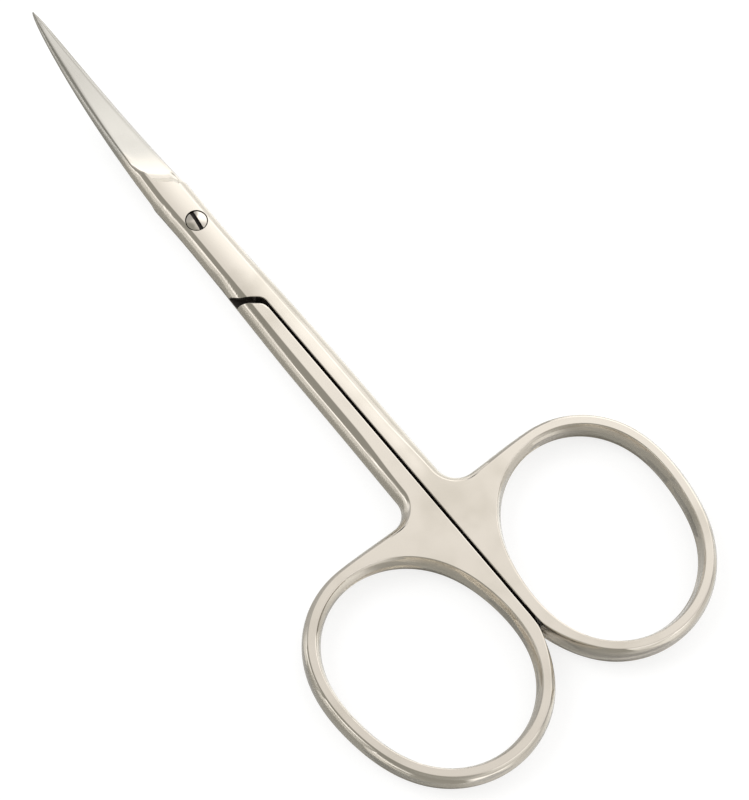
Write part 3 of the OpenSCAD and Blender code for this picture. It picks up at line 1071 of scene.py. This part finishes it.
    def is_inner(self, middle: Vector, normal: Vector) -> bool:
        """Whether a face of the finished mesh belongs to the joint's inner side.

        Args:
            middle: middle of the face, in metres.
            normal: its normal.

        Returns:
            True for mating faces, the shoulder's wall, the tongue's end, bore and recess.
        """
        s = self.side.value
        x, y = s * middle.x / MM, middle.y / MM - self.pivot_y
        h = s * (middle.z / MM - self.half_t - self.rise(x, y))
        mating = abs(h - self.mate_h) < 0.03 and s * normal.z < -0.8
        upright = abs(normal.z) < 0.5
        shoulder = upright and -14.5 < y < -7 and abs(normal.y) > 0.5
        bored = upright and math.hypot(x, y) < 1.3
        slit = abs(normal.z) < 0.2 and y < -11 and x < self.half_gap + 0.01
        # The faces picked here get the joint's finish, which is painted dark as shade near the shoulder,
        # along the parting line and round the screw
        return mating or shoulder or bored or slit

    def dress(self, piece: Piece, finish: Material, inner: Material) -> None:
        """Give the piece its finishes, each in a material slot of its own."""
        paint(piece, finish, inner, self.is_inner)


# Pivot screw


@dataclass
class PivotScrew:
    """Slotted screw on which the halves turn, riveted over on the underside."""

    node: str = "pivot_screw"
    pivot_y: float = 17.99
    half_t: float = 1.75
    head_r: float = 1.1
    head_h: float = 0.75
    head_dome: float = 0.1
    screw_r: float = 0.75
    rivet_r: float = 1.0
    rivet_h: float = 0.35
    rivet_inset: float = 0.02
    slot_w: float = 0.36
    slot_wear: tuple[float, float] = (0.78, 1.35)
    slot_d: float = 0.4
    slot_deg: float = 82.3
    rim_r: float = 1.08
    rim_h: float = -0.06
    edge_r: float = 0.1

    def outline(self) -> list[Plan]:
        """Half section of the screw, from the middle of the riveted end to that of the head."""
        low, r = -self.half_t + self.rivet_inset, self.edge_r
        rim, crest = self.half_t + self.rim_h, self.half_t + self.head_dome
        quarter = [math.pi / 2 * i / 5 for i in range(1, 6)]
        points = [(0.03, low), (self.rivet_r - r, low)]
        points += [(self.rivet_r - r + r * math.sin(a), low + r - r * math.cos(a)) for a in quarter]
        points += [(self.rivet_r, -self.half_t + self.rivet_h), (self.screw_r, -self.half_t + self.rivet_h),
                   (self.screw_r, self.half_t - self.head_h), (self.rim_r, self.half_t - self.head_h),
                   (self.rim_r, rim - r)]
        points += [(self.rim_r - r + r * math.cos(a), rim - r + r * math.sin(a)) for a in quarter[:-1]]
        for i in range(1, 16):
            t = 1 - i / 15.5
            points.append(((self.rim_r - r) * t, mix(rim, crest, 1 - t * t)))
        return points

    def slot_tool(self) -> Piece:
        """Cutting tool for the driver slot, worn wider at its ends and flared at its top.

        Returns:
            The tool as a closed object.
        """
        top = 2 * self.half_t + self.head_dome
        levels = ((-self.slot_d, 0.0), (-0.14, 0.0), (-0.08, 0.02), (-0.02, 0.06), (0.6, 0.2))
        turn = math.radians(self.slot_deg)
        rows = []
        for z, grow in levels:
            row = []
            for i in range(48):
                sign = 1 if i < 24 else -1
                along = 1.6 * (1 - 2 * (i % 24 + 0.5) / 24) * sign
                worn = mix(*self.slot_wear, clamp01(abs(along) / self.head_r) ** 1.5)
                wide = (self.slot_w / 2 * worn + grow) * sign
                row.append((along * math.cos(turn) - wide * math.sin(turn),
                            along * math.sin(turn) + wide * math.cos(turn) + self.pivot_y, top + z))
            rows.append(row)
        return skin_rows("slot", rows, Grain.ROUND_ROWS)

    def build(self) -> Piece:
        """Model the screw and put it in the place of its CAD node.

        Returns:
            The finished piece.
        """
        turns = [2 * math.pi * i / 96 for i in range(96)]
        rows = [[(r * math.cos(a), r * math.sin(a) + self.pivot_y, z + self.half_t) for a in turns]
                for r, z in self.outline()]
        screw = skin_rows(self.node + "_turned", rows, Grain.ROUND_ROWS)
        cut(screw, [self.slot_tool()])
        smooth(screw)
        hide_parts(self.node)
        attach(screw, "lower")
        return screw

    def in_slot(self, middle: Vector, normal: Vector) -> bool:
        """Whether a face of the finished mesh, in metres, is a wall or the floor of the slot."""
        floor = 2 * self.half_t + self.head_dome - self.slot_d
        x, y, z = (v / MM for v in middle)
        inside = math.hypot(x, y - self.pivot_y) < self.rim_r - 0.02 and z > floor - 0.05
        return inside and (abs(normal.z) < 0.3 or z < floor + 0.02)

    def dress(self, piece: Piece, finish: Material, inner: Material) -> None:
        """Give the piece its finishes, each in a material slot of its own."""
        paint(piece, finish, inner, self.in_slot)


# Stage, light and camera


@dataclass(frozen=True)
class Zone:
    """A bright or dim part of the studio, seen from the scissors.

    Attributes:
        azimuth, elevation: direction of its middle in degrees, from +X towards +Y.
        outer, inner: share of the direction at which it begins and at which it is full.
        level: radiance; 1 shows a white as white.
        colour: sRGB hex colour.
        band: lowest and highest elevation that it fills, or None for all.
    """

    azimuth: float
    elevation: float
    outer: float
    inner: float
    level: float
    colour: str = "#FFFFFF"
    band: tuple[float, float] | None = None

    @property
    def direction(self) -> Point:
        """Unit vector to the middle of the zone."""
        a, e = math.radians(self.azimuth), math.radians(self.elevation)
        return (math.cos(e) * math.cos(a), math.cos(e) * math.sin(a), math.sin(e))

    def share(self, tree: Tree, place: Socket) -> Socket:
        """Add the nodes that give how much of the zone is seen in a direction.

        Args:
            tree: the world's node tree.
            place: socket with the direction.

        Returns:
            Socket with the share, 0 to 1.
        """
        near = add_node(tree, "VectorMath", {"operation": "DOT_PRODUCT", 1: self.direction},
                        {0: place})
        found = add_node(tree, "MapRange", step(self.outer, self.inner),
                         {"Value": near.outputs["Value"]}).outputs["Result"]
        if self.band is not None:
            low, high = (math.sin(math.radians(v)) for v in self.band)
            height = add_node(tree, "SeparateXYZ", {}, {"Vector": place})
            for start, end in ((low - 0.02, low + 0.02), (high + 0.02, high - 0.02)):
                edge = add_node(tree, "MapRange", step(start, end), {"Value": height.outputs["Z"]})
                found = add_node(tree, "Math", {"operation": "MULTIPLY"},
                                 {0: found, 1: edge.outputs["Result"]}).outputs["Value"]
        return found


@dataclass
class Studio:
    """Plain white floor in a white tent with dim and bright zones."""

    floor_size: float = 3.0
    # Just under the scissors, in metres, so that the two never share a plane
    floor_z: float = -0.00002
    floor_colour: str = "#959595"
    floor_glow: float = 0.76
    satin_colour: str = "#D6D6D4"
    sheen_colour: str = "#F0F0EE"
    sheen_roughness: float = 0.25
    sheen_share: float = 0.75
    key_azimuth: float = 122.0
    key_elevation: float = 48.0
    key_size: float = 0.6
    key_level: float = 4.0
    tent_colour: str = "#FFFDFB"
    tent_level: float = 0.9
    zones: tuple[Zone, ...] = (
        Zone(35, 25, 0.62, 0.92, 1.75),
        Zone(28, 2, 0.85, 0.95, 1.25),
        Zone(80, 35, 0.86, 0.95, 0.55),
        Zone(94, 5, 0.9, 0.97, 0.6),
        Zone(128, 5, 0.86, 0.95, 1.1),
        Zone(280, 5, 0.84, 0.95, 1.45),
        Zone(337, -5, 0.88, 0.96, 0.5),
        Zone(215, 5, 0.6, 0.8, 0.42, "#F9F8F0"),
        Zone(180, 38, 0.5, 0.74, 0.4, "#F9F8F0", (15, 90)),
        Zone(158, 10, 0.8, 0.9, 1.75, band=(8, 14)),
    )

    def floor(self) -> Piece:
        """Lay the plain white floor under the scissors.

        The camera sees it as white paper with a glow of its own; the metal mirrors a satin sheet.

        Returns:
            The floor.
        """
        deselect_all()
        bpy.ops.mesh.primitive_plane_add(size=self.floor_size, location=(0, 0, self.floor_z))
        plane = bpy.context.active_object
        plane.name = "floor"
        bpy.ops.object.transform_apply(location=True, rotation=True, scale=True)
        material, tree, out = new_material("white_paper")
        path = add_node(tree, "LightPath")
        paper = add_node(tree, "BsdfDiffuse", {"in:Color": to_linear(self.floor_colour)})
        glow = add_node(tree, "Emission",
                        {"in:Color": to_linear("#FFFFFF"), "in:Strength": self.floor_glow})
        white = add_node(tree, "AddShader", {},
                         {0: paper.outputs["BSDF"], 1: glow.outputs["Emission"]})
        matt = add_node(tree, "BsdfDiffuse", {"in:Color": to_linear(self.satin_colour)})
        sheen = add_node(tree, "BsdfGlossy",
                         {"in:Color": to_linear(self.sheen_colour), "in:Roughness": self.sheen_roughness})
        satin = add_node(tree, "MixShader", {"in:Fac": self.sheen_share},
                         {1: matt.outputs["BSDF"], 2: sheen.outputs["BSDF"]})
        both = add_node(tree, "MixShader", {},
                        {"Fac": path.outputs["Is Camera Ray"], 1: satin.outputs["Shader"],
                         2: white.outputs["Shader"]})
        tree.links.new(both.outputs["Shader"], out.inputs["Surface"])
        plane.data.materials.append(material)
        return plane

    def world(self) -> None:
        """Surround the stage with the tent and its zones."""
        world = bpy.data.worlds.new("tent")
        bpy.context.scene.world = world
        world.use_nodes = True
        tree = world.node_tree
        tree.nodes.clear()
        out = add_node(tree, "OutputWorld")
        place = add_node(tree, "TexCoord")
        glow = add_node(tree, "Background",
                        {"in:Color": to_linear(self.tent_colour), "in:Strength": self.tent_level})
        for zone in self.zones:
            share = zone.share(tree, place.outputs["Generated"])
            light = add_node(tree, "Background",
                             {"in:Color": to_linear(zone.colour), "in:Strength": zone.level})
            glow = add_node(tree, "MixShader", {},
                            {"Fac": share, 1: glow.outputs[0], 2: light.outputs["Background"]})
        tree.links.new(glow.outputs[0], out.inputs["Surface"])

    def key(self) -> None:
        """Hang the soft key light, whose only work is the shadow; the metal doesn't mirror it."""
        data = bpy.data.lights.new("key_softbox", "AREA")
        data.shape = "SQUARE"
        data.size = self.key_size
        data.energy = self.key_level * math.pi * self.key_size**2
        lamp = bpy.data.objects.new("key_softbox", data)
        bpy.context.scene.collection.objects.link(lamp)
        a, e = math.radians(self.key_azimuth), math.radians(self.key_elevation)
        lamp.location = (math.cos(e) * math.cos(a), math.cos(e) * math.sin(a), math.sin(e))
        lamp.rotation_euler = lamp.location.to_track_quat("Z", "Y").to_euler()
        lamp.visible_glossy = False

    def build(self) -> None:
        """Set up floor and light."""
        self.floor()
        self.world()
        self.key()


@dataclass
class PhotoCamera:
    """Camera at the photograph's viewing angle."""

    azimuth: float = 224.818
    elevation: float = 67.739
    roll: float = 6.889
    distance: float = 333.9
    focal_px: float = 3384.5
    aim: tuple[float, float, float] = (2.445, -7.524, 1.75)

    def build(self) -> Piece:
        """Place the camera and make it the scene's camera.

        Returns:
            The camera.
        """
        data = bpy.data.cameras.new("photo_camera")
        data.sensor_fit = "HORIZONTAL"
        data.sensor_width = 36
        data.lens = self.focal_px / IMAGE_WIDTH * data.sensor_width
        data.clip_start = 0.01
        data.clip_end = 10
        camera = bpy.data.objects.new("photo_camera", data)
        bpy.context.scene.collection.objects.link(camera)
        a, e, r = (math.radians(v) for v in (self.azimuth, self.elevation, self.roll))
        back = Vector((math.cos(e) * math.cos(a), math.cos(e) * math.sin(a), math.sin(e)))
        right = Vector((-math.sin(a), math.cos(a), 0))
        up = back.cross(right)
        turned = (right * math.cos(r) + up * math.sin(r), up * math.cos(r) - right * math.sin(r), back)
        place = (Vector(self.aim) + back * self.distance) * MM
        camera.matrix_world = Matrix.Translation(place) @ Matrix(turned).transposed().to_4x4()
        bpy.context.scene.camera = camera
        return camera


def main() -> None:
    """Build every piece, the stage, the light and the camera."""
    bpy.context.scene.view_settings.view_transform = "Standard"
    PhotoCamera().build()
    Studio().build()
    nickel = PolishedNickel().build()
    screw_finish = PolishedNickel(name="polished_nickel_screw", facet_tilt=0.0).build()
    # The joint's inner finish: ground steel with painted shade in the corners, along the parting line and
    # round the screw
    inner = {side: JointFace("ground_steel_and_painted_shade_" + side.name.lower(), side.value).build() for side in Side}
    for half in (ForgedHalf(Side.UPPER, "upper_half"), ForgedHalf(Side.LOWER, "lower_half")):
        piece = half.build()
        half.dress(piece, nickel, inner[half.side])
        log.info("%s: %d faces", piece.name, len(piece.data.polygons))
    screw = PivotScrew()
    piece = screw.build()
    # The slot's walls and floor take the joint's finish, and so are painted dark as shade
    screw.dress(piece, screw_finish, inner[Side.UPPER])
    log.info("%s: %d faces", piece.name, len(piece.data.polygons))


if __name__ == "__main__":
    main()
